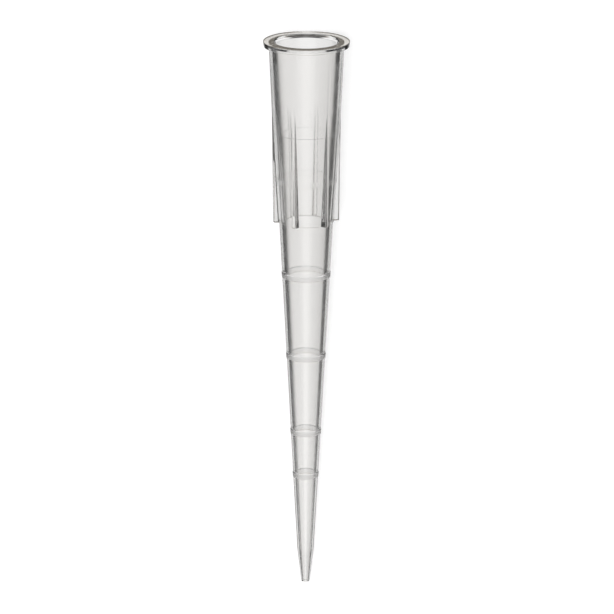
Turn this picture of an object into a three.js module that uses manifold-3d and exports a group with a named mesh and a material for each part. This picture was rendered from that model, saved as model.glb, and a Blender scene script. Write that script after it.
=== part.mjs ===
// A clear pipette tip of the 200 microlitre size, moulded in one piece, lying on its side on a flat surface.
// Millimetres, +Z up, rim towards +X. The tip is built upright, from its fine end at height 0 to its rim,
// and is then laid down, so that it touches the surface at the edge of its rim and at its nose.

import * as THREE from 'three';
import Module from 'manifold-3d';
import { mergeVertices } from 'three/addons/utils/BufferGeometryUtils.js';

// Whole tip
const tipLength = 51;
const roundSegments = 48;

// Outside, from the fine end up: a short steep nose, a long plain cone, a thicker collar, then the neck
const endRadius = 0.37;
const noseHeight = 3;
const noseRadius = 0.74;
const collarFootHeight = 34.25;
const coneTopRadius = 2.45;
const collarLedgeRadius = 2.53;
const collarLipHeight = 34.52;
const collarLipRadius = 2.555;
const shoulderHeight = 44.8;
const shoulderRadius = 3.145;
const neckRadius = 3.412;

// Rim flange, flat below and above
const flangeFootHeight = 50.56;
const flangeFootRadius = 3.87;
const rimRadius = 3.93;

// Bore: a fine cone through the nose, one long cone up to a small step, then the less steep socket
// that a nozzle pushes into
const orificeRadius = 0.226;
const boreNoseRadius = 0.4475;
const boreStepHeight = 42.5;
const boreStepRadius = 2.258;
const boreStepWidth = 0.05;
const mouthHeight = 50.65;
const mouthRadius = 2.78;
const mouthLeadInRadius = 2.972;

// Graduation rings, raised bands at the 10, 20, 50, 100 and 200 microlitre levels
const ringHeights = [10.32, 14.44, 21.66, 29.3, 38.2];
const ringBand = 0.5;
const ringRise = 0.035;
const collarRingRise = 0.015;
// The rings' upper edges slope less than their lower ones: this much height for each unit of rise
const ringTopLength = 1.7;

// Fins around the collar, which keep the tip upright in a rack
const finCount = 6;
const finFootWidth = 0.5;
const finTopWidth = 0.46;
const finCornerRadius = 0.2;
const finFootRadius = 3.01;
const finTopRadius = 3.145;
const finRootRadius = 1.6;
// How far each side of a fin turns outwards, so that the fin gets thicker towards its root
const finDraft = 10;
// Angle from straight down to a lowest fin. The two lowest straddle it and stop the tip from rolling away
const finRestAngle = -30;

// How far a cutting or joining solid runs past the surface that it cuts or joins
const overrun = 0.5;

const wasm = await Module();
wasm.setup();

// A closed three.js geometry as a manifold solid
function toSolid(geometry) {
  const bare = geometry.clone();
  bare.deleteAttribute('normal');
  bare.deleteAttribute('uv');
  const merged = mergeVertices(bare, 1e-4);
  const mesh = new wasm.Mesh({
    numProp: 3,
    vertProperties: new Float32Array(merged.attributes.position.array),
    triVerts: new Uint32Array(merged.index.array),
  });
  return new wasm.Manifold(mesh);
}

// A manifold solid as a three.js geometry
function toGeometry(solid) {
  const mesh = solid.getMesh();
  const geometry = new THREE.BufferGeometry();
  geometry.setAttribute('position', new THREE.BufferAttribute(new Float32Array(mesh.vertProperties), 3));
  geometry.setIndex(new THREE.BufferAttribute(new Uint32Array(mesh.triVerts), 1));
  geometry.computeVertexNormals();
  return geometry;
}

// A solid of revolution about Z from [radius, height] pairs. Each flat side touches the true circle,
// and one flat side faces straight down once the tip is laid on its side.
function turned(outline) {
  const halfSide = Math.PI / roundSegments;
  const points = outline.map(([radius, height]) => new THREE.Vector2(radius / Math.cos(halfSide), height));
  const geometry = new THREE.LatheGeometry(points, roundSegments, halfSide);
  geometry.rotateX(Math.PI / 2);
  return toSolid(geometry);
}

// The plain outside's radius at a height, along the long cone or along the collar
function outsideRadius(height) {
  const [low, high] = height < collarFootHeight
    ? [[noseHeight, noseRadius], [collarFootHeight, coneTopRadius]]
    : [[collarLipHeight, collarLipRadius], [shoulderHeight, shoulderRadius]];
  return THREE.MathUtils.mapLinear(height, low[0], high[0], low[1], high[1]);
}

// The outline of one graduation ring, from its lower edge to its upper edge
function ringOutline(height) {
  const lower = height - ringBand / 2;
  const upper = height + ringBand / 2;
  const rise = height < collarFootHeight ? ringRise : collarRingRise;
  return [
    [outsideRadius(lower), lower],
    [outsideRadius(lower) + rise, lower + rise],
    [outsideRadius(upper) + rise, upper - ringTopLength * rise],
    [outsideRadius(upper), upper],
  ];
}

function blank() {
  const ringsBelow = ringHeights.filter((height) => height < collarFootHeight);
  const ringsAbove = ringHeights.filter((height) => height > collarFootHeight);
  return turned([
    [0, 0],
    [endRadius, 0],
    [noseRadius, noseHeight],
    ...ringsBelow.flatMap(ringOutline),
    [coneTopRadius, collarFootHeight],
    [collarLedgeRadius, collarFootHeight],
    [collarLipRadius, collarLipHeight],
    ...ringsAbove.flatMap(ringOutline),
    [shoulderRadius, shoulderHeight],
    [neckRadius, flangeFootHeight],
    [flangeFootRadius, flangeFootHeight],
    [rimRadius, tipLength],
    [0, tipLength],
  ]);
}

// The space inside: fine bore, step, nozzle socket and the lead-in at the mouth
function bore() {
  const noseSlope = (boreNoseRadius - orificeRadius) / noseHeight;
  const leadInSlope = (mouthLeadInRadius - mouthRadius) / (tipLength - mouthHeight);
  return turned([
    [0, -overrun],
    [orificeRadius - noseSlope * overrun, -overrun],
    [boreNoseRadius, noseHeight],
    [boreStepRadius, boreStepHeight],
    [boreStepRadius + boreStepWidth, boreStepHeight],
    [mouthRadius, mouthHeight],
    [mouthLeadInRadius + leadInSlope * overrun, tipLength + overrun],
    [0, tipLength + overrun],
  ]);
}

// One fin, standing out along +X: a blade with rounded outer corners, thicker towards its root. Towards its
// top it gets narrower, and its outer edge leans out until it meets the shoulder.
function fin() {
  const half = finFootWidth / 2;
  const corner = finCornerRadius;
  const draft = Math.tan(THREE.MathUtils.degToRad(finDraft));
  const rootHalf = half + (finFootRadius - corner - finRootRadius) * draft;
  const section = new THREE.Shape();
  section.moveTo(finRootRadius, -rootHalf);
  section.lineTo(finFootRadius - corner, -half);
  section.absarc(finFootRadius - corner, corner - half, corner, -Math.PI / 2, 0);
  section.absarc(finFootRadius - corner, half - corner, corner, 0, Math.PI / 2);
  section.lineTo(finRootRadius, rootHalf);
  section.closePath();
  const height = shoulderHeight - collarFootHeight;
  const settings = { depth: height, bevelEnabled: false, curveSegments: 3 };
  const geometry = new THREE.ExtrudeGeometry(section, settings);
  const position = geometry.attributes.position;
  for (let index = 0; index < position.count; index += 1) {
    const share = position.getZ(index) / height;
    position.setX(index, position.getX(index) + share * (finTopRadius - finFootRadius));
    position.setY(index, position.getY(index) * THREE.MathUtils.lerp(1, finTopWidth / finFootWidth, share));
  }
  geometry.translate(0, 0, collarFootHeight);
  return toSolid(geometry);
}

// Fins stand evenly around the collar, counted from one of the two lowest
function fins() {
  const pitch = 360 / finCount;
  return Array.from({ length: finCount }, (_, index) => fin().rotate([0, 0, finRestAngle + index * pitch]));
}

function buildTip() {
  const outside = fins().reduce((solid, one) => solid.add(one), blank());
  return toGeometry(outside.subtract(bore()));
}

const clearPlastic = new THREE.MeshStandardMaterial({
  color: 0xdcdddb,
  roughness: 0.18,
  metalness: 0,
  transparent: true,
  opacity: 0.4,
});

const tip = new THREE.Mesh(buildTip(), clearPlastic);
tip.name = 'pipette_tip';

// Laid down: the rim's edge and the nose's corner touch the surface, and the box's base centre is the origin
const restSlope = Math.atan((rimRadius - noseRadius) / (tipLength - noseHeight));
const fineEndX = -endRadius * Math.sin(restSlope);
const rimEndX = tipLength * Math.cos(restSlope) + rimRadius * Math.sin(restSlope);
const fineEndZ = noseRadius * Math.cos(restSlope) - noseHeight * Math.sin(restSlope);
const lying = new THREE.Group();
lying.rotation.y = Math.PI / 2 - restSlope;
lying.position.set(-(fineEndX + rimEndX) / 2, 0, fineEndZ);
lying.add(tip);

const group = new THREE.Group();
group.add(lying);

export default group;
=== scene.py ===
import math

import bmesh
import bpy
from bpy.props import FloatProperty, FloatVectorProperty, PointerProperty
from mathutils import Matrix, Vector


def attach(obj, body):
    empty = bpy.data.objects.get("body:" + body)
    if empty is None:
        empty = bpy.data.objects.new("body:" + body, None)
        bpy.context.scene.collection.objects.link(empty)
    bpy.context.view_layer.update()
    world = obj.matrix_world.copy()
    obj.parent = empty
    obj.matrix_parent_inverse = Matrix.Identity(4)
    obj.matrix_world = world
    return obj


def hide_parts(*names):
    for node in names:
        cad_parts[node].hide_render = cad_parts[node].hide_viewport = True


bl_info = {
    "name": "Pipette Tip",
    "version": (1, 0, 0),
    "blender": (4, 5, 0),
    "location": "3D View > Sidebar > Pipette Tip",
    "description": "Builds a clear moulded pipette tip that lies on a white surface",
    "category": "Add Mesh",
}

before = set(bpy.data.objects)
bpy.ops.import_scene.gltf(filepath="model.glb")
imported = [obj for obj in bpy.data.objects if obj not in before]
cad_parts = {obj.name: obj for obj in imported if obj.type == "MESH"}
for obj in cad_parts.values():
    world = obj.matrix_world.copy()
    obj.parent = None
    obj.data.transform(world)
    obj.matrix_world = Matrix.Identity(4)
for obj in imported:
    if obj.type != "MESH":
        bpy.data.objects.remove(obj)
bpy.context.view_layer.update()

MM = 0.001

# Heights of the graduation rings above the fine end, in millimetres
RING_HEIGHTS = (10.32, 14.44, 21.66, 29.3, 38.2)
# A ring's upper edge slopes less than its lower one: this much height for each unit of rise
RING_TOP_LENGTH = 1.7
FIN_COUNT = 6

# Rounding of each corner of the outline, in millimetres, and how many short flats each one is made of
ROUNDINGS = {
    "orifice": 0.025,
    "end": 0.05,
    "nose": 0.3,
    "foot": 0.03,
    "ledge": 0.05,
    "neck": 0.008,
    "flange": 0.012,
    "rim": 0.05,
    "lead_in": 0.045,
    "mouth": 0.015,
    "above_step": 0.015,
    "step": 0.02,
    "bore_nose": 0.3,
}
CORNER_SEGMENTS = 6
# The outline is held flat from this many roundings away from a corner, if at least this length is left
HOLD_REACH = 1.4
SHORTEST_FLAT = 0.02

# Height of a row of faces on the collar, in millimetres
COLLAR_ROW = 0.4
# Columns of faces in half a fin and in half the gap beside it, and the angle that the first of them span
FIN_COLUMNS = 12
FIN_CORNER_COLUMNS = 9
GAP_COLUMNS = 22
FIN_COLUMNS_ANGLE = math.radians(3.5)
# Halvings in the search for the place where a fin's rounded corner sinks into the collar
HALVINGS = 40

# In millimetres: points this close are one point, heights this close are one height, and a point of the
# outline this far inside the plain outside is still part of it
SAME_POINT = 1e-4
SAME_HEIGHT = 1e-3
OUTSIDE_DEPTH = 0.1
# An edge that bends more than this is sharp
SHARP_BEND = math.radians(32)


def length(name, description, default):
    """A length, whose default is in millimetres."""
    return FloatProperty(
        name=name, description=description, default=default * MM, unit="LENGTH", precision=5)


def angle(name, description, default):
    """An angle, whose default is in degrees."""
    return FloatProperty(
        name=name, description=description, default=math.radians(default), subtype="ANGLE")


def share(name, description, default):
    """A number from 0 to 1."""
    return FloatProperty(
        name=name, description=description, subtype="FACTOR", min=0, max=1, default=default)


def strength(name, description, default):
    """The strength of a light."""
    return FloatProperty(name=name, description=description, min=0, default=default)


class PIPETTETIP_PG_sizes(bpy.types.PropertyGroup):
    """Sizes of the tip, in metres"""

    tip_length: length("Length", "From the fine end to the top of the rim", 51.0)
    end_radius: length("End radius", "Outside radius of the fine end", 0.37)
    nose_height: length("Nose height", "Height of the short steep nose", 3.0)
    nose_radius: length("Nose radius", "Outside radius at the top of the nose", 0.74)
    cone_top_radius: length("Cone top radius", "Outside radius of the long cone below the collar", 2.45)
    foot_height: length("Collar foot height", "Height of the step below the collar and its fins", 34.25)
    ledge_radius: length("Ledge radius", "Outside radius of the collar's step", 2.53)
    lip_height: length("Lip height", "Height of the lip just above the collar's step", 34.52)
    lip_radius: length("Lip radius", "Outside radius of the lip", 2.555)
    shoulder_height: length("Shoulder height", "Height at which the fins have run out", 44.8)
    shoulder_radius: length("Shoulder radius", "Outside radius at the shoulder", 3.145)
    neck_radius: length("Neck radius", "Outside radius of the corner under the rim", 3.412)
    flange_height: length("Flange height", "Height of the rim's lower edge", 50.56)
    flange_radius: length("Flange radius", "Radius of the rim's lower edge", 3.87)
    rim_radius: length("Rim radius", "Radius of the rim", 3.93)
    orifice_radius: length("Orifice radius", "Radius of the bore at the fine end", 0.226)
    bore_nose_radius: length("Bore nose radius", "Radius of the bore at the top of the nose", 0.4475)
    step_height: length("Bore step height", "Height of the small step in the bore", 42.5)
    step_radius: length("Bore step radius", "Radius of the bore below its step", 2.258)
    step_width: length("Bore step width", "How much wider the bore is above its step", 0.05)
    mouth_height: length("Mouth height", "Height at which the mouth starts to flare", 50.65)
    mouth_radius: length("Mouth radius", "Radius of the socket at the mouth", 2.78)
    lead_in_radius: length("Lead-in radius", "Radius of the mouth at the top of the rim", 2.972)
    ring_band: length("Ring band", "Height of one graduation ring", 0.5)
    ring_rise: length("Ring rise", "How far a graduation ring stands proud", 0.035)
    collar_ring_rise: length("Collar ring rise", "How far the ring on the collar stands proud", 0.015)
    fin_foot_width: length("Fin foot width", "Width of a fin at its foot", 0.5)
    fin_top_width: length("Fin top width", "Width of a fin at the shoulder", 0.46)
    fin_corner: length("Fin corner", "Rounding of a fin's outer corners", 0.2)
    fin_foot_reach: length("Fin foot reach", "From the axis to a fin's outer edge, at its foot", 3.01)
    fin_top_reach: length("Fin top reach", "From the axis to a fin's outer edge, at the shoulder", 3.145)
    fin_draft: angle("Fin draft", "Slant of each side of a fin, which makes it thicker at its root", 10)
    fin_turn: angle("Fin turn", "Angle from straight down to a lowest fin", -30)


class PIPETTETIP_PG_looks(bpy.types.PropertyGroup):
    """Finish of the plastic"""

    tint: FloatVectorProperty(
        name="Tint", description="Colour of the plastic", subtype="COLOR", size=3,
        min=0, max=1, default=(0.98, 0.974, 0.965))
    roughness: share("Roughness", "Roughness of the polished faces", 0.1)
    bore_roughness: share("Bore roughness", "Roughness of the bore", 0.12)
    fin_roughness: share("Fin roughness", "Roughness of the fins", 0.05)
    ring_roughness: share("Ring roughness", "Roughness of the satin graduation rings", 0.37)
    edge_roughness: share("Edge roughness", "Roughness that the rim's edge has on top of its own", 0.03)
    clearness: share("Clearness", "Share of the light that passes instead of scattering", 0.985)
    shadow_clearness: share("Shadow clearness", "Share of the light that passes into the tip's shadow", 0.8)
    index: FloatProperty(
        name="Refractive index", description="Index of refraction of the plastic",
        min=1, max=2, default=1.49)


class PIPETTETIP_PG_stage(bpy.types.PropertyGroup):
    """Floor, lamp, surroundings and camera"""

    floor_size: length("Floor size", "Side of the floor", 3000)
    floor_white: share("Floor white", "Share of the light that the floor throws back", 0.9)
    floor_glow: strength("Floor glow", "Light that the floor adds where the camera sees it", 0.27)
    camera_distance: length("Camera distance", "From the camera to the middle of the tip", 600)
    camera_rise: angle("Camera rise", "Angle of the view towards the rim, from square on to the tip", 15.59)
    camera_side: angle("Camera side", "Angle of the view about the tip, from straight above", -8.5)
    camera_roll: angle("Camera roll", "Turn of the camera about its own line of sight", 0.12)
    image_width: length("Image width", "Width of the view at the middle of the tip", 55.87)
    image_aside: length("Image aside", "How far the view is moved to the right", 0.09463)
    image_up: length("Image up", "How far the view is moved towards the rim", 0.62513)
    world_light: strength("World light", "Strength of the light from all round", 0.45)
    lamp_light: strength("Lamp light", "Strength of the lamp", 1.9)
    lamp_spread: angle("Lamp spread", "How wide the lamp looks from the tip", 30)
    lamp_side: angle("Lamp side", "Angle of the lamp about the tip, from the camera's side", -12)
    rim_dark: share("Rim darkness", "How dark the surroundings beyond the rim are", 0.5)


# ---------------------------------------------------------------- node trees written as expressions


class Term:
    """A socket in a node tree. Arithmetic on it adds the Math nodes that do it."""

    def __init__(self, graph, socket):
        self.graph = graph
        self.socket = socket

    def math(self, operation, *others, clamp=False):
        settings = {"operation": operation, "use_clamp": clamp}
        return self.graph.add("ShaderNodeMath", settings, dict(enumerate((self, *others))))

    def __add__(self, other):
        return self.math("ADD", other)

    __radd__ = __add__

    def __sub__(self, other):
        return self.math("SUBTRACT", other)

    def __rsub__(self, other):
        return self.graph.add("ShaderNodeMath", {"operation": "SUBTRACT"}, {0: other, 1: self})

    def __mul__(self, other):
        return self.math("MULTIPLY", other)

    __rmul__ = __mul__

    def __truediv__(self, other):
        return self.math("DIVIDE", other)

    def clipped(self):
        return self.math("ADD", 0.0, clamp=True)

    def step(self, low, high):
        """0 below low, 1 above high and a smooth rise between them; low may be the larger."""
        if low > high:
            return 1.0 - self.step(high, low)
        settings = {"interpolation_type": "SMOOTHSTEP", "clamp": True}
        sockets = {"Value": self, "From Min": low, "From Max": high}
        return self.graph.add("ShaderNodeMapRange", settings, sockets)

    def within(self, start, full, fade, end):
        """1 between full and fade, 0 before start and past end, and smooth between them."""
        return self.step(start, full) * self.step(end, fade)


class Graph:
    """Adds nodes to one node tree."""

    def __init__(self, tree):
        self.tree = tree
        tree.nodes.clear()

    def add(self, kind, settings=None, sockets=None, output=0):
        """One node with its settings and the values or links of its sockets, as one of its outputs."""
        node = self.tree.nodes.new(kind)
        for name, value in (settings or {}).items():
            if name == "stops":
                self.set_stops(node.color_ramp, value)
            else:
                setattr(node, name, value)
        for name, value in (sockets or {}).items():
            if isinstance(value, Term):
                self.tree.links.new(value.socket, node.inputs[name])
            else:
                node.inputs[name].default_value = value
        return Term(self, node.outputs[output]) if node.outputs else None

    def mix(self, amount, first, second, blend="MIX"):
        """Two colours, mixed. Sockets 6 and 7 and output 2 are the Mix node's colours."""
        settings = {"data_type": "RGBA", "blend_type": blend}
        return self.add("ShaderNodeMix", settings, {0: amount, 6: first, 7: second}, output=2)

    def rays(self):
        """Two masks: 1 where the camera sees this itself, and 1 where the plastic shows it."""
        path = self.add("ShaderNodeLightPath")
        direct, glossy, through = (
            self.output_of(path, f"Is {name} Ray") for name in ("Camera", "Glossy", "Transmission"))
        return direct, (glossy + through).clipped()

    def set_stops(self, ramp, stops):
        while len(ramp.elements) > 1:
            ramp.elements.remove(ramp.elements[0])
        ramp.elements[0].position = stops[0][0]
        ramp.elements[0].color = stops[0][1]
        for place, colour in stops[1:]:
            ramp.elements.new(place).color = colour

    def output_of(self, term, name):
        """Another output of the node that a term comes from."""
        return Term(self, term.socket.node.outputs[name])


def grey(level):
    """A colour without a hue."""
    return (level, level, level, 1)


# ---------------------------------------------------------------- the tip


def own_names(group):
    """Names of the properties that a group adds to Blender's own."""
    return [name for name in group.bl_rna.properties.keys() if name not in ("rna_type", "name")]


def in_mm(sizes):
    """The sizes by name: lengths in millimetres, angles in radians."""
    units = {name: MM if sizes.bl_rna.properties[name].unit == "LENGTH" else 1 for name in own_names(sizes)}
    return {name: getattr(sizes, name) / unit for name, unit in units.items()}


def outside_radius(mm, height):
    """Radius of the plain outside at a height, without rings and fins."""
    if height < mm["foot_height"]:
        low, high = (mm["nose_height"], mm["nose_radius"]), (mm["foot_height"], mm["cone_top_radius"])
    elif height < mm["lip_height"]:
        low, high = (mm["foot_height"], mm["ledge_radius"]), (mm["lip_height"], mm["lip_radius"])
    else:
        low, high = (mm["lip_height"], mm["lip_radius"]), (mm["shoulder_height"], mm["shoulder_radius"])
    portion = (height - low[0]) / (high[0] - low[0])
    return low[1] + portion * (high[1] - low[1])


def ring_outline(mm, height):
    """The raised band of one graduation ring, as (radius, height, rounding)."""
    lower, upper = height - mm["ring_band"] / 2, height + mm["ring_band"] / 2
    rise = mm["ring_rise"] if height < mm["foot_height"] else mm["collar_ring_rise"]
    return [
        (outside_radius(mm, lower), lower, 0.0),
        (outside_radius(mm, lower) + rise, lower + rise, 0.0),
        (outside_radius(mm, upper) + rise, upper - RING_TOP_LENGTH * rise, 0.0),
        (outside_radius(mm, upper), upper, 0.0),
    ]


def tip_outline(mm):
    """Half the tip's lengthwise section, once round, as (radius, height, rounding of the corner)."""
    below = [h for h in RING_HEIGHTS if h < mm["foot_height"]]
    above = [h for h in RING_HEIGHTS if h > mm["foot_height"]]
    return [
        (mm["orifice_radius"], 0.0, ROUNDINGS["orifice"]),
        (mm["end_radius"], 0.0, ROUNDINGS["end"]),
        (mm["nose_radius"], mm["nose_height"], ROUNDINGS["nose"]),
        *[corner for h in below for corner in ring_outline(mm, h)],
        (mm["cone_top_radius"], mm["foot_height"], ROUNDINGS["foot"]),
        (mm["ledge_radius"], mm["foot_height"], ROUNDINGS["ledge"]),
        (mm["lip_radius"], mm["lip_height"], 0.0),
        *[corner for h in above for corner in ring_outline(mm, h)],
        (mm["shoulder_radius"], mm["shoulder_height"], 0.0),
        (mm["neck_radius"], mm["flange_height"], ROUNDINGS["neck"]),
        (mm["flange_radius"], mm["flange_height"], ROUNDINGS["flange"]),
        (mm["rim_radius"], mm["tip_length"], ROUNDINGS["rim"]),
        (mm["lead_in_radius"], mm["tip_length"], ROUNDINGS["lead_in"]),
        (mm["mouth_radius"], mm["mouth_height"], ROUNDINGS["mouth"]),
        (mm["step_radius"] + mm["step_width"], mm["step_height"], ROUNDINGS["above_step"]),
        (mm["step_radius"], mm["step_height"], ROUNDINGS["step"]),
        (mm["bore_nose_radius"], mm["nose_height"], ROUNDINGS["bore_nose"]),
    ]


def with_holds(corners):
    """The outline with a plain point close to each side of a rounded corner, so that the faces between
    corners are shaded flat."""
    held = []
    for index, (radius, height, rounding) in enumerate(corners):
        here = Vector((radius, height))
        for other in (corners[index - 1], corners[(index + 1) % len(corners)]):
            reach = Vector(other[:2]) - here
            hold = here + reach.normalized() * HOLD_REACH * rounding
            if rounding and reach.length > HOLD_REACH * (rounding + other[2]) + SHORTEST_FLAT:
                held.append((*hold, 0.0))
            if other == corners[index - 1]:
                held.append((radius, height, rounding))
    return held


def draw_outline(bm, mm):
    """The section as a closed wire in the XZ plane, its corners rounded and its collar cut into rows."""
    corners = with_holds(tip_outline(mm))
    verts = [bm.verts.new((radius, 0.0, height)) for radius, height, _ in corners]
    for a, b in zip(verts, verts[1:] + verts[:1]):
        bm.edges.new((a, b))
    rounded = [(vert, rounding) for vert, (_, _, rounding) in zip(verts, corners) if rounding]
    for vert, rounding in rounded:
        bmesh.ops.bevel(bm, geom=[vert], offset=rounding, offset_type="OFFSET", segments=CORNER_SEGMENTS,
                        profile=0.5, affect="VERTICES", material=-1)
    on_collar = [e for e in bm.edges if on_fins(mm, e.verts[0].co) and on_fins(mm, e.verts[1].co)]
    for edge in sorted(on_collar, key=lambda e: e.verts[0].co.z):
        cuts = int(edge.calc_length() / COLLAR_ROW)
        if cuts:
            bmesh.ops.subdivide_edges(bm, edges=[edge], cuts=cuts)


def on_fins(mm, co):
    """Is this point of the section on the outside, where the fins stand?"""
    foot, shoulder = mm["foot_height"], mm["shoulder_height"]
    mid_step = (mm["cone_top_radius"] + mm["ledge_radius"]) / 2
    least = max(mid_step, outside_radius(mm, max(co.z, foot)) - OUTSIDE_DEPTH)
    return foot - SAME_HEIGHT < co.z < shoulder + SAME_HEIGHT and co.x > least


def fin_section(mm, height, radius):
    """Points across half a fin at a height, from the middle of its outer edge to where its side meets the
    collar, or None where the fin has run out. radius is the collar's at that height."""
    portion = (height - mm["foot_height"]) / (mm["shoulder_height"] - mm["foot_height"])
    inset = max(0.0, outside_radius(mm, height) - radius)
    narrowing = 1 + portion * (mm["fin_top_width"] / mm["fin_foot_width"] - 1)
    reach = mm["fin_foot_reach"] + portion * (mm["fin_top_reach"] - mm["fin_foot_reach"]) - inset
    corner = mm["fin_corner"] - inset
    flat = (mm["fin_foot_width"] / 2 - mm["fin_corner"]) * narrowing

    def on_corner(turn):
        """A point on the rounded outer corner, from the outer edge at 0 to the side at a quarter turn."""
        return Vector((reach + corner * (math.cos(turn) - 1), flat + corner * narrowing * math.sin(turn)))

    if on_corner(0).length <= radius:
        return None
    full = math.pi / 2
    if on_corner(full).length >= radius:
        # The side leaves the whole corner with its draft and meets the collar's circle
        slant = Vector((-1, math.tan(mm["fin_draft"]) * narrowing))
        middle = -on_corner(full).dot(slant) / slant.length_squared
        beyond = (on_corner(full).length_squared - radius**2) / slant.length_squared
        base = on_corner(full) + (middle - math.sqrt(middle**2 - beyond)) * slant
        corners = [on_corner(full * n / (FIN_CORNER_COLUMNS - 1)) for n in range(FIN_CORNER_COLUMNS)]
        side_columns = FIN_COLUMNS - FIN_CORNER_COLUMNS
        side = [corners[-1].lerp(base, n / side_columns) for n in range(1, side_columns + 1)]
        return [Vector((reach, 0)), *corners, *side]
    # The collar has swallowed the side and part of the corner
    low, high = 0.0, full
    for _ in range(HALVINGS):
        middle = (low + high) / 2
        if on_corner(middle).length > radius:
            low = middle
        else:
            high = middle
    return [Vector((reach, 0)), *[on_corner(low * n / (FIN_COLUMNS - 1)) for n in range(FIN_COLUMNS)]]


def raise_fins(bm, mm):
    """Moves the collar's first columns out onto half a fin, and the rest along the collar to make room."""
    half_pitch = math.pi / FIN_COUNT
    gap_step = (half_pitch - FIN_COLUMNS_ANGLE) / GAP_COLUMNS
    for vert in bm.verts:
        radius = vert.co.xy.length
        if not on_fins(mm, Vector((radius, 0, vert.co.z))):
            continue
        section = fin_section(mm, vert.co.z, radius)
        if section is None:
            continue
        place = math.atan2(vert.co.y, vert.co.x)
        if place < FIN_COLUMNS_ANGLE + gap_step / 2:
            column = round(place / FIN_COLUMNS_ANGLE * FIN_COLUMNS)
            vert.co.xy = section[column]
        else:
            base = math.atan2(section[-1].y, section[-1].x)
            portion = (place - FIN_COLUMNS_ANGLE) / (half_pitch - FIN_COLUMNS_ANGLE)
            turned = base + portion * (half_pitch - base)
            vert.co.xy = radius * math.cos(turned), radius * math.sin(turned)


def rest_slope(mm):
    """How much the axis rises towards the rim when the rim's edge and the nose's corner touch the floor."""
    return math.atan((mm["rim_radius"] - mm["nose_radius"]) / (mm["tip_length"] - mm["nose_height"]))


def lying(mm):
    """The matrix that lays the upright tip down, with its fine end's place and the ways along its axis and
    down across it once it lies there, in metres."""
    slope = rest_slope(mm)
    along = Vector((math.cos(slope), 0, math.sin(slope)))
    down = Vector((math.sin(slope), 0, -math.cos(slope)))
    fine_x = -mm["end_radius"] * math.sin(slope)
    rim_x = mm["tip_length"] * math.cos(slope) + mm["rim_radius"] * math.sin(slope)
    fine_z = mm["nose_radius"] * math.cos(slope) - mm["nose_height"] * math.sin(slope)
    fine_end = Vector((-(fine_x + rim_x) / 2, 0, fine_z)) * MM
    turn = Matrix((down, (0, 1, 0), along)).transposed().to_4x4()
    return Matrix.Translation(fine_end) @ turn, fine_end, along, down


def all_of(bm):
    """Everything in a bmesh, for an operator that takes geometry."""
    return [*bm.verts, *bm.edges, *bm.faces]


def make_tip(mm):
    """The whole tip as one closed solid: half a fin and half a gap, mirrored, then repeated all round."""
    axis = {"cent": (0, 0, 0), "axis": (0, 0, 1)}
    half_pitch = math.pi / FIN_COUNT
    bm = bmesh.new()
    draw_outline(bm, mm)
    spun = bmesh.ops.spin(bm, geom=all_of(bm), angle=FIN_COLUMNS_ANGLE, steps=FIN_COLUMNS, **axis)
    gap_angle = half_pitch - FIN_COLUMNS_ANGLE
    bmesh.ops.spin(bm, geom=spun["geom_last"], angle=gap_angle, steps=GAP_COLUMNS, **axis)
    raise_fins(bm, mm)
    bmesh.ops.mirror(bm, geom=all_of(bm), matrix=Matrix.Identity(4), merge_dist=SAME_POINT, axis="Y")
    bmesh.ops.spin(bm, geom=all_of(bm), angle=2 * half_pitch * (FIN_COUNT - 1), steps=FIN_COUNT - 1,
                   use_duplicate=True, **axis)
    bmesh.ops.remove_doubles(bm, verts=bm.verts, dist=SAME_POINT)
    bmesh.ops.recalc_face_normals(bm, faces=bm.faces)
    for face in bm.faces:
        face.smooth = True
    for edge in bm.edges:
        edge.smooth = len(edge.link_faces) == 2 and edge.calc_face_angle() < SHARP_BEND
    place, *_ = lying(mm)
    bmesh.ops.rotate(bm, verts=bm.verts, cent=(0, 0, 0), matrix=Matrix.Rotation(mm["fin_turn"], 3, "Z"))
    bmesh.ops.scale(bm, verts=bm.verts, vec=(MM, MM, MM))
    bmesh.ops.transform(bm, verts=bm.verts, matrix=place)
    mesh = bpy.data.meshes.new("tip")
    bm.to_mesh(mesh)
    bm.free()
    return mesh


# ---------------------------------------------------------------- the plastic


# In millimetres: how far a face stands out from the bore's cone, as it passes from bore to outside, and
# how far a fin stands out from the collar, as it passes from root to fin
OUTSIDE_STARTS = (0.2, 0.25)
FIN_STARTS = (0.05, 0.09)
# How softly the rings and the fins' feet end, and how early the fins' own finish fades towards the shoulder
RING_FADE = 0.03
FIN_FOOT_FADE = 0.1
FIN_TOP_FADE = 1.0
# The neck and the rim are polished from this far below the flange up, and are this much less rough for it
POLISH_STARTS = (-1.5, -1.0)
RIM_POLISH = 0.7
# The flange's edge starts this far above its foot and this far inside its foot's radius
EDGE_ABOVE = (0.0, 0.01)
EDGE_INSIDE = (-0.06, -0.03)
# The collar's ring is this much as satin as the others
COLLAR_RING_SATIN = 0.5
# How much the roughness varies in soft streaks, and how deep and strong the streaks are as ripples
STREAK_RANGE = 0.8
RIPPLE_DEPTH = 0.02 * MM
RIPPLE_STRENGTH = 0.05


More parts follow.
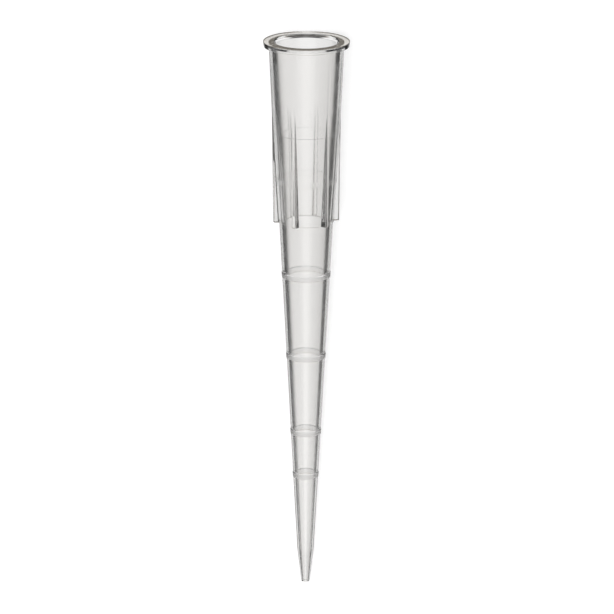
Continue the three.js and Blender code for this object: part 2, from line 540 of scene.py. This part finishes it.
def finish(mm, looks, height, radius, streaks):
    """Roughness all over the tip: polished outside, satin on the rings, and finishes of their own on the
    bore, the fins, the rim and its edge."""
    bore_slope = (mm["step_radius"] - mm["bore_nose_radius"]) / (mm["step_height"] - mm["nose_height"])
    bore = mm["step_radius"] + (height - mm["step_height"]) * bore_slope
    outside = (radius - bore).step(*OUTSIDE_STARTS)

    half_band = mm["ring_band"] / 2
    rings = 0.0
    for middle in RING_HEIGHTS:
        satin = 1.0 if middle < mm["foot_height"] else COLLAR_RING_SATIN
        rings = (height - middle).math("ABSOLUTE").step(half_band, half_band - RING_FADE) * satin + rings
    rings = (rings * outside).clipped()

    foot, shoulder = mm["foot_height"], mm["shoulder_height"]
    collar_slope = (mm["shoulder_radius"] - mm["lip_radius"]) / (shoulder - mm["lip_height"])
    collar = mm["lip_radius"] + (height - mm["lip_height"]) * collar_slope
    fins = (radius - collar).step(*FIN_STARTS)
    fins = fins * height.within(foot - FIN_FOOT_FADE, foot, shoulder - FIN_TOP_FADE, shoulder)

    above_neck, past_flange = height - mm["flange_height"], radius - mm["flange_radius"]
    roughness = looks.bore_roughness + outside * (looks.roughness - looks.bore_roughness)
    roughness = roughness * (1.0 + STREAK_RANGE * (streaks - 0.5))
    roughness = roughness * (1.0 - RIM_POLISH * above_neck.step(*POLISH_STARTS))
    roughness = roughness + rings * (looks.ring_roughness - looks.roughness)
    roughness = roughness + fins * (looks.fin_roughness - looks.roughness)
    edge = above_neck.step(*EDGE_ABOVE) * past_flange.step(*EDGE_INSIDE)
    return roughness + edge * looks.edge_roughness


def clear_plastic(mm, looks):
    """Clear polypropylene, polished, with satin graduation rings. It lets most light into its shadow."""
    material = bpy.data.materials.new("clear polypropylene")
    material.use_nodes = True
    graph = Graph(material.node_tree)
    _, fine_end, _, _ = lying(mm)
    upright = graph.add("ShaderNodeMapping", {"vector_type": "TEXTURE"}, {
        "Vector": graph.add("ShaderNodeTexCoord", output="Object"), "Location": fine_end,
        "Rotation": (0, math.pi / 2 - rest_slope(mm), 0), "Scale": (MM, MM, MM)})
    parts = graph.add("ShaderNodeSeparateXYZ", None, {"Vector": upright})
    x, y, height = (graph.output_of(parts, name) for name in "XYZ")
    radius = (x * x + y * y).math("SQRT")
    streaks = graph.add("ShaderNodeTexNoise", {"noise_dimensions": "3D"}, {
        "Vector": upright, "Scale": 0.9, "Detail": 3.0, "Roughness": 0.5})
    ripples = graph.add("ShaderNodeBump", None, {
        "Strength": RIPPLE_STRENGTH, "Distance": RIPPLE_DEPTH, "Height": streaks})
    plastic = graph.add("ShaderNodeBsdfPrincipled", None, {
        "Base Color": (*looks.tint, 1), "Roughness": finish(mm, looks, height, radius, streaks),
        "IOR": looks.index, "Transmission Weight": looks.clearness, "Normal": ripples})
    is_shadow = graph.add("ShaderNodeLightPath", output="Is Shadow Ray")
    passing = graph.add("ShaderNodeBsdfTransparent", None, {"Color": grey(looks.shadow_clearness)})
    mixed = graph.add("ShaderNodeMixShader", None, {0: is_shadow, 1: plastic, 2: passing})
    graph.add("ShaderNodeOutputMaterial", None, {"Surface": mixed})
    return material


class PIPETTETIP_OT_tip(bpy.types.Operator):
    """Make the clear plastic tip in place of its plain solid"""

    bl_idname = "pipettetip.tip"
    bl_label = "Tip"

    def execute(self, context):
        mm = in_mm(context.scene.pipettetip_sizes)
        tip = bpy.data.objects.new("tip", make_tip(mm))
        context.scene.collection.objects.link(tip)
        tip.data.materials.append(clear_plastic(mm, context.scene.pipettetip_looks))
        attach(tip, "root")
        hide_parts("pipette_tip")
        return {"FINISHED"}


# ---------------------------------------------------------------- the stage


# The surroundings are told apart by two measures of a direction. Across is its angle about the tip's axis,
# in degrees, from straight away from the camera. Lengthwise is the share of it that points along the axis
# towards the rim.

PLAIN = (1, 1, 1)
WARM = (1, 0.97, 0.945)
# How bright they are across, as (angle, brightness, tint), where the strips are
STRIPS = (
    # The panel on the camera's side, and dimmer surroundings beside it
    (-180, 1.15, PLAIN), (-148, 1.15, PLAIN), (-143, 0.3, WARM), (-100, 0.45, WARM), (-72, 0.55, WARM),
    # A dark strip
    (-60, 0.05, PLAIN), (-32, 0.0, PLAIN),
    # The bright strip behind the tip
    (-29, 0.15, WARM), (-26, 0.45, WARM), (-22, 0.72, PLAIN), (-16, 0.86, PLAIN), (-8, 0.93, PLAIN),
    (0, 0.98, PLAIN), (3, 0.95, PLAIN), (8, 0.86, PLAIN), (14, 0.77, PLAIN), (27, 0.67, PLAIN),
    (30, 0.42, WARM), (34, 0.1, WARM),
    # The other dark strip
    (37, 0.0, PLAIN), (60, 0.05, PLAIN),
    # Dimmer surroundings and the panel again
    (72, 0.55, WARM), (100, 0.45, WARM), (138, 0.3, WARM), (162, 1.15, PLAIN), (180, 1.15, PLAIN),
)
# Past the strips' ends it is this bright all round, apart from a darker bar on each side of the panel
ALL_ROUND = 0.98
BAR_SHADE = 0.84
BAR = (98, 108, 162, 170)
# The ramp and the mixed colours hold the brightness divided by this, so that none of it is cut off
HEADROOM = 2.0

# The two lengths that have the strips, as lengthwise shares: start, full, fade and end
STRIPS_BEHIND = (-0.355, -0.335, -0.1, -0.06)
STRIPS_BEYOND_RIM = (0.03, 0.07, 0.58, 0.62)
# The warm shade beyond the rim, across a wide and a narrow wedge, and its darkest stretch
RIM_WIDE = (0.02, 0.08, 0.58, 0.62)
RIM_NARROW = (-0.06, 0.0, 0.58, 0.62)
RIM_DARKEST = (0.36, 0.42, 0.58, 0.62)
RIM_TINT = (1, 0.91, 0.77, 1)
# A dark patch beyond the nose, and a light shade before the rim, all the way round
BEYOND_NOSE = (-0.475, -0.455, -0.36, -0.34)
BEFORE_RIM = (-0.28, -0.252, -0.15, -0.1)
BEFORE_RIM_SHADE = 0.095
DARKEST = 0.95
# The wedges' half widths across, in degrees, from where they end to where they are full
WIDE_WEDGE = (70, 50)
NARROW_WEDGE = (22, 14)


def ramp_stops(levels):
    """The stops of a colour ramp once round the axis."""
    return [((across + 180) / 360, (*(level / HEADROOM * part for part in tint), 1))
            for across, level, tint in levels]


def surroundings(graph, stage, lengthwise, across):
    """Colour and strength of what the plastic shows, by direction."""
    aside = across.math("ABSOLUTE")
    wide, narrow = aside.step(*WIDE_WEDGE), aside.step(*NARROW_WEDGE)
    strips = graph.add("ShaderNodeValToRGB", {"stops": ramp_stops(STRIPS)}, {"Fac": (across + 180) / 360})
    all_round = (ALL_ROUND - BAR_SHADE * aside.within(*BAR)) / HEADROOM
    past_strips = 1.0 - lengthwise.within(*STRIPS_BEHIND) - lengthwise.within(*STRIPS_BEYOND_RIM)
    beyond_rim = lengthwise.within(*RIM_WIDE) * wide
    beyond_rim = beyond_rim.math("MAXIMUM", lengthwise.within(*RIM_NARROW) * narrow)
    colour = graph.mix(past_strips, strips, all_round)
    colour = graph.mix(beyond_rim, colour, RIM_TINT, blend="MULTIPLY")
    shade = stage.rim_dark * beyond_rim
    shade = shade + (DARKEST - stage.rim_dark) * (lengthwise.within(*RIM_DARKEST) * wide)
    shade = shade + DARKEST * (lengthwise.within(*BEYOND_NOSE) * narrow)
    shade = shade + BEFORE_RIM_SHADE * lengthwise.within(*BEFORE_RIM)
    return colour, HEADROOM * (1.0 - shade)


def light_world(stage, away, side, along):
    """The camera sees it white, and matt faces get soft light from it. The plastic shows a bright panel on
    the camera's side and a bright strip behind the tip between two dark ones, in two short lengths, and
    dark patches beyond the rim and the nose. Nearly everywhere else it is a bright white."""
    world = bpy.context.scene.world or bpy.data.worlds.new("world")
    bpy.context.scene.world = world
    world.use_nodes = True
    graph = Graph(world.node_tree)
    direct, shown = graph.rays()
    way = graph.add("ShaderNodeTexCoord")

    def part_along(direction):
        settings = {"operation": "DOT_PRODUCT"}
        return graph.add("ShaderNodeVectorMath", settings, {0: way, 1: direction}, output="Value")

    across = part_along(side).math("ARCTAN2", part_along(away)) * (180 / math.pi)
    colour, brightness = surroundings(graph, stage, part_along(along), across)
    matt = 1.0 - (direct + shown).clipped()
    level = direct.math("MAXIMUM", shown * brightness) + matt * stage.world_light
    background = graph.add("ShaderNodeBackground", None, {
        "Color": graph.mix(shown, grey(1), colour), "Strength": level})
    graph.add("ShaderNodeOutputWorld", None, {"Surface": background})
    world.cycles.sampling_method = "NONE"


# How far the floor is below the tip, in metres, so that the two don't touch
FLOOR_GAP = 0.02 * MM
# The camera's sensor, in millimetres, and the nearest and farthest that it sees, in metres
SENSOR_WIDTH = 36
CAMERA_CLIP = (0.05, 5)


def floor_material(stage):
    """A white floor. The camera sees it lit, with the tip's shadow; the plastic shows what is beyond it."""
    material = bpy.data.materials.new("white floor")
    material.use_nodes = True
    graph = Graph(material.node_tree)
    direct, shown = graph.rays()
    matt = graph.add("ShaderNodeBsdfDiffuse", None, {"Color": grey(stage.floor_white)})
    glow = graph.add("ShaderNodeEmission", None, {"Color": grey(1), "Strength": direct * stage.floor_glow})
    lit = graph.add("ShaderNodeAddShader", None, {0: matt, 1: glow})
    clear = graph.add("ShaderNodeBsdfTransparent", None, {"Color": grey(1)})
    seen = graph.add("ShaderNodeMixShader", None, {0: shown, 1: lit, 2: clear})
    graph.add("ShaderNodeOutputMaterial", None, {"Surface": seen})
    return material


def make_floor(stage):
    """A square floor just below the tip."""
    mesh = bpy.data.meshes.new("floor")
    bm = bmesh.new()
    bmesh.ops.create_grid(bm, x_segments=1, y_segments=1, size=stage.floor_size / 2)
    bmesh.ops.translate(bm, verts=bm.verts, vec=(0, 0, -FLOOR_GAP))
    bm.to_mesh(mesh)
    bm.free()
    mesh.materials.append(floor_material(stage))
    return bpy.data.objects.new("floor", mesh)


def facing_back(back, up):
    """The turn of a camera or lamp that looks the opposite way from back."""
    back = back.normalized()
    right = up.cross(back).normalized()
    return Matrix((right, back.cross(right), back)).transposed()


def make_camera(stage, middle, above, along):
    """The camera, which looks down on the tip with the rim at the top of its view."""
    camera = bpy.data.cameras.new("camera")
    camera.sensor_width = SENSOR_WIDTH
    camera.lens = SENSOR_WIDTH * stage.camera_distance / stage.image_width
    camera.clip_start, camera.clip_end = CAMERA_CLIP
    back = above * math.cos(stage.camera_rise) + along * math.sin(stage.camera_rise)
    up = (along - back * along.dot(back)).normalized()
    turn = facing_back(back, up) @ Matrix.Rotation(stage.camera_roll, 3, "Z")
    place = middle + back * stage.camera_distance + turn @ Vector((stage.image_aside, stage.image_up, 0))
    view = bpy.data.objects.new("camera", camera)
    view.matrix_world = Matrix.Translation(place) @ turn.to_4x4()
    return view


def make_lamp(stage, above, side, along):
    """The lamp, which lights the floor and gives the tip its shadow but isn't seen in the plastic."""
    lamp = bpy.data.lights.new("main lamp", "SUN")
    lamp.energy = stage.lamp_light
    lamp.angle = stage.lamp_spread
    main = bpy.data.objects.new("main lamp", lamp)
    main.visible_glossy = main.visible_transmission = False
    main.matrix_world = facing_back(above + side * math.tan(stage.lamp_side), along).to_4x4()
    return main


class PIPETTETIP_OT_stage(bpy.types.Operator):
    """Make the white floor, the lamp, the surroundings and the camera"""

    bl_idname = "pipettetip.stage"
    bl_label = "Stage"

    def execute(self, context):
        scene = context.scene
        stage, mm = scene.pipettetip_stage, in_mm(scene.pipettetip_sizes)
        _, fine_end, along, down = lying(mm)
        middle = fine_end + along * mm["tip_length"] / 2 * MM
        above = Matrix.Rotation(stage.camera_side, 3, along) @ -down
        side = along.cross(above)

        floor = make_floor(stage)
        scene.collection.objects.link(floor)
        scene.camera = make_camera(stage, middle, above, along)
        scene.collection.objects.link(scene.camera)
        scene.collection.objects.link(make_lamp(stage, above, side, along))
        light_world(stage, -above, side, along)
        scene.view_settings.view_transform = "Standard"
        return {"FINISHED"}


# ---------------------------------------------------------------- the panel and the run


class PIPETTETIP_PT_panel(bpy.types.Panel):
    """Lists what can be made"""

    bl_label = "Pipette Tip"
    bl_idname = "PIPETTETIP_PT_panel"
    bl_space_type = "VIEW_3D"
    bl_region_type = "UI"
    bl_category = "Pipette Tip"

    def draw(self, context):
        scene, column = context.scene, self.layout.column()
        for groups, operator in (
                ((scene.pipettetip_sizes, scene.pipettetip_looks), PIPETTETIP_OT_tip),
                ((scene.pipettetip_stage,), PIPETTETIP_OT_stage)):
            for group in groups:
                for name in own_names(group):
                    column.prop(group, name)
            column.operator(operator.bl_idname)


CLASSES = (
    PIPETTETIP_PG_sizes,
    PIPETTETIP_PG_looks,
    PIPETTETIP_PG_stage,
    PIPETTETIP_OT_tip,
    PIPETTETIP_OT_stage,
    PIPETTETIP_PT_panel,
)


def register():
    for made in CLASSES:
        bpy.utils.register_class(made)
    bpy.types.Scene.pipettetip_sizes = PointerProperty(type=PIPETTETIP_PG_sizes)
    bpy.types.Scene.pipettetip_looks = PointerProperty(type=PIPETTETIP_PG_looks)
    bpy.types.Scene.pipettetip_stage = PointerProperty(type=PIPETTETIP_PG_stage)


def unregister():
    del bpy.types.Scene.pipettetip_stage
    del bpy.types.Scene.pipettetip_looks
    del bpy.types.Scene.pipettetip_sizes
    for made in reversed(CLASSES):
        bpy.utils.unregister_class(made)


def main():
    register()
    bpy.ops.pipettetip.tip()
    bpy.ops.pipettetip.stage()
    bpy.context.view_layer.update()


if __name__ == "__main__":
    main()
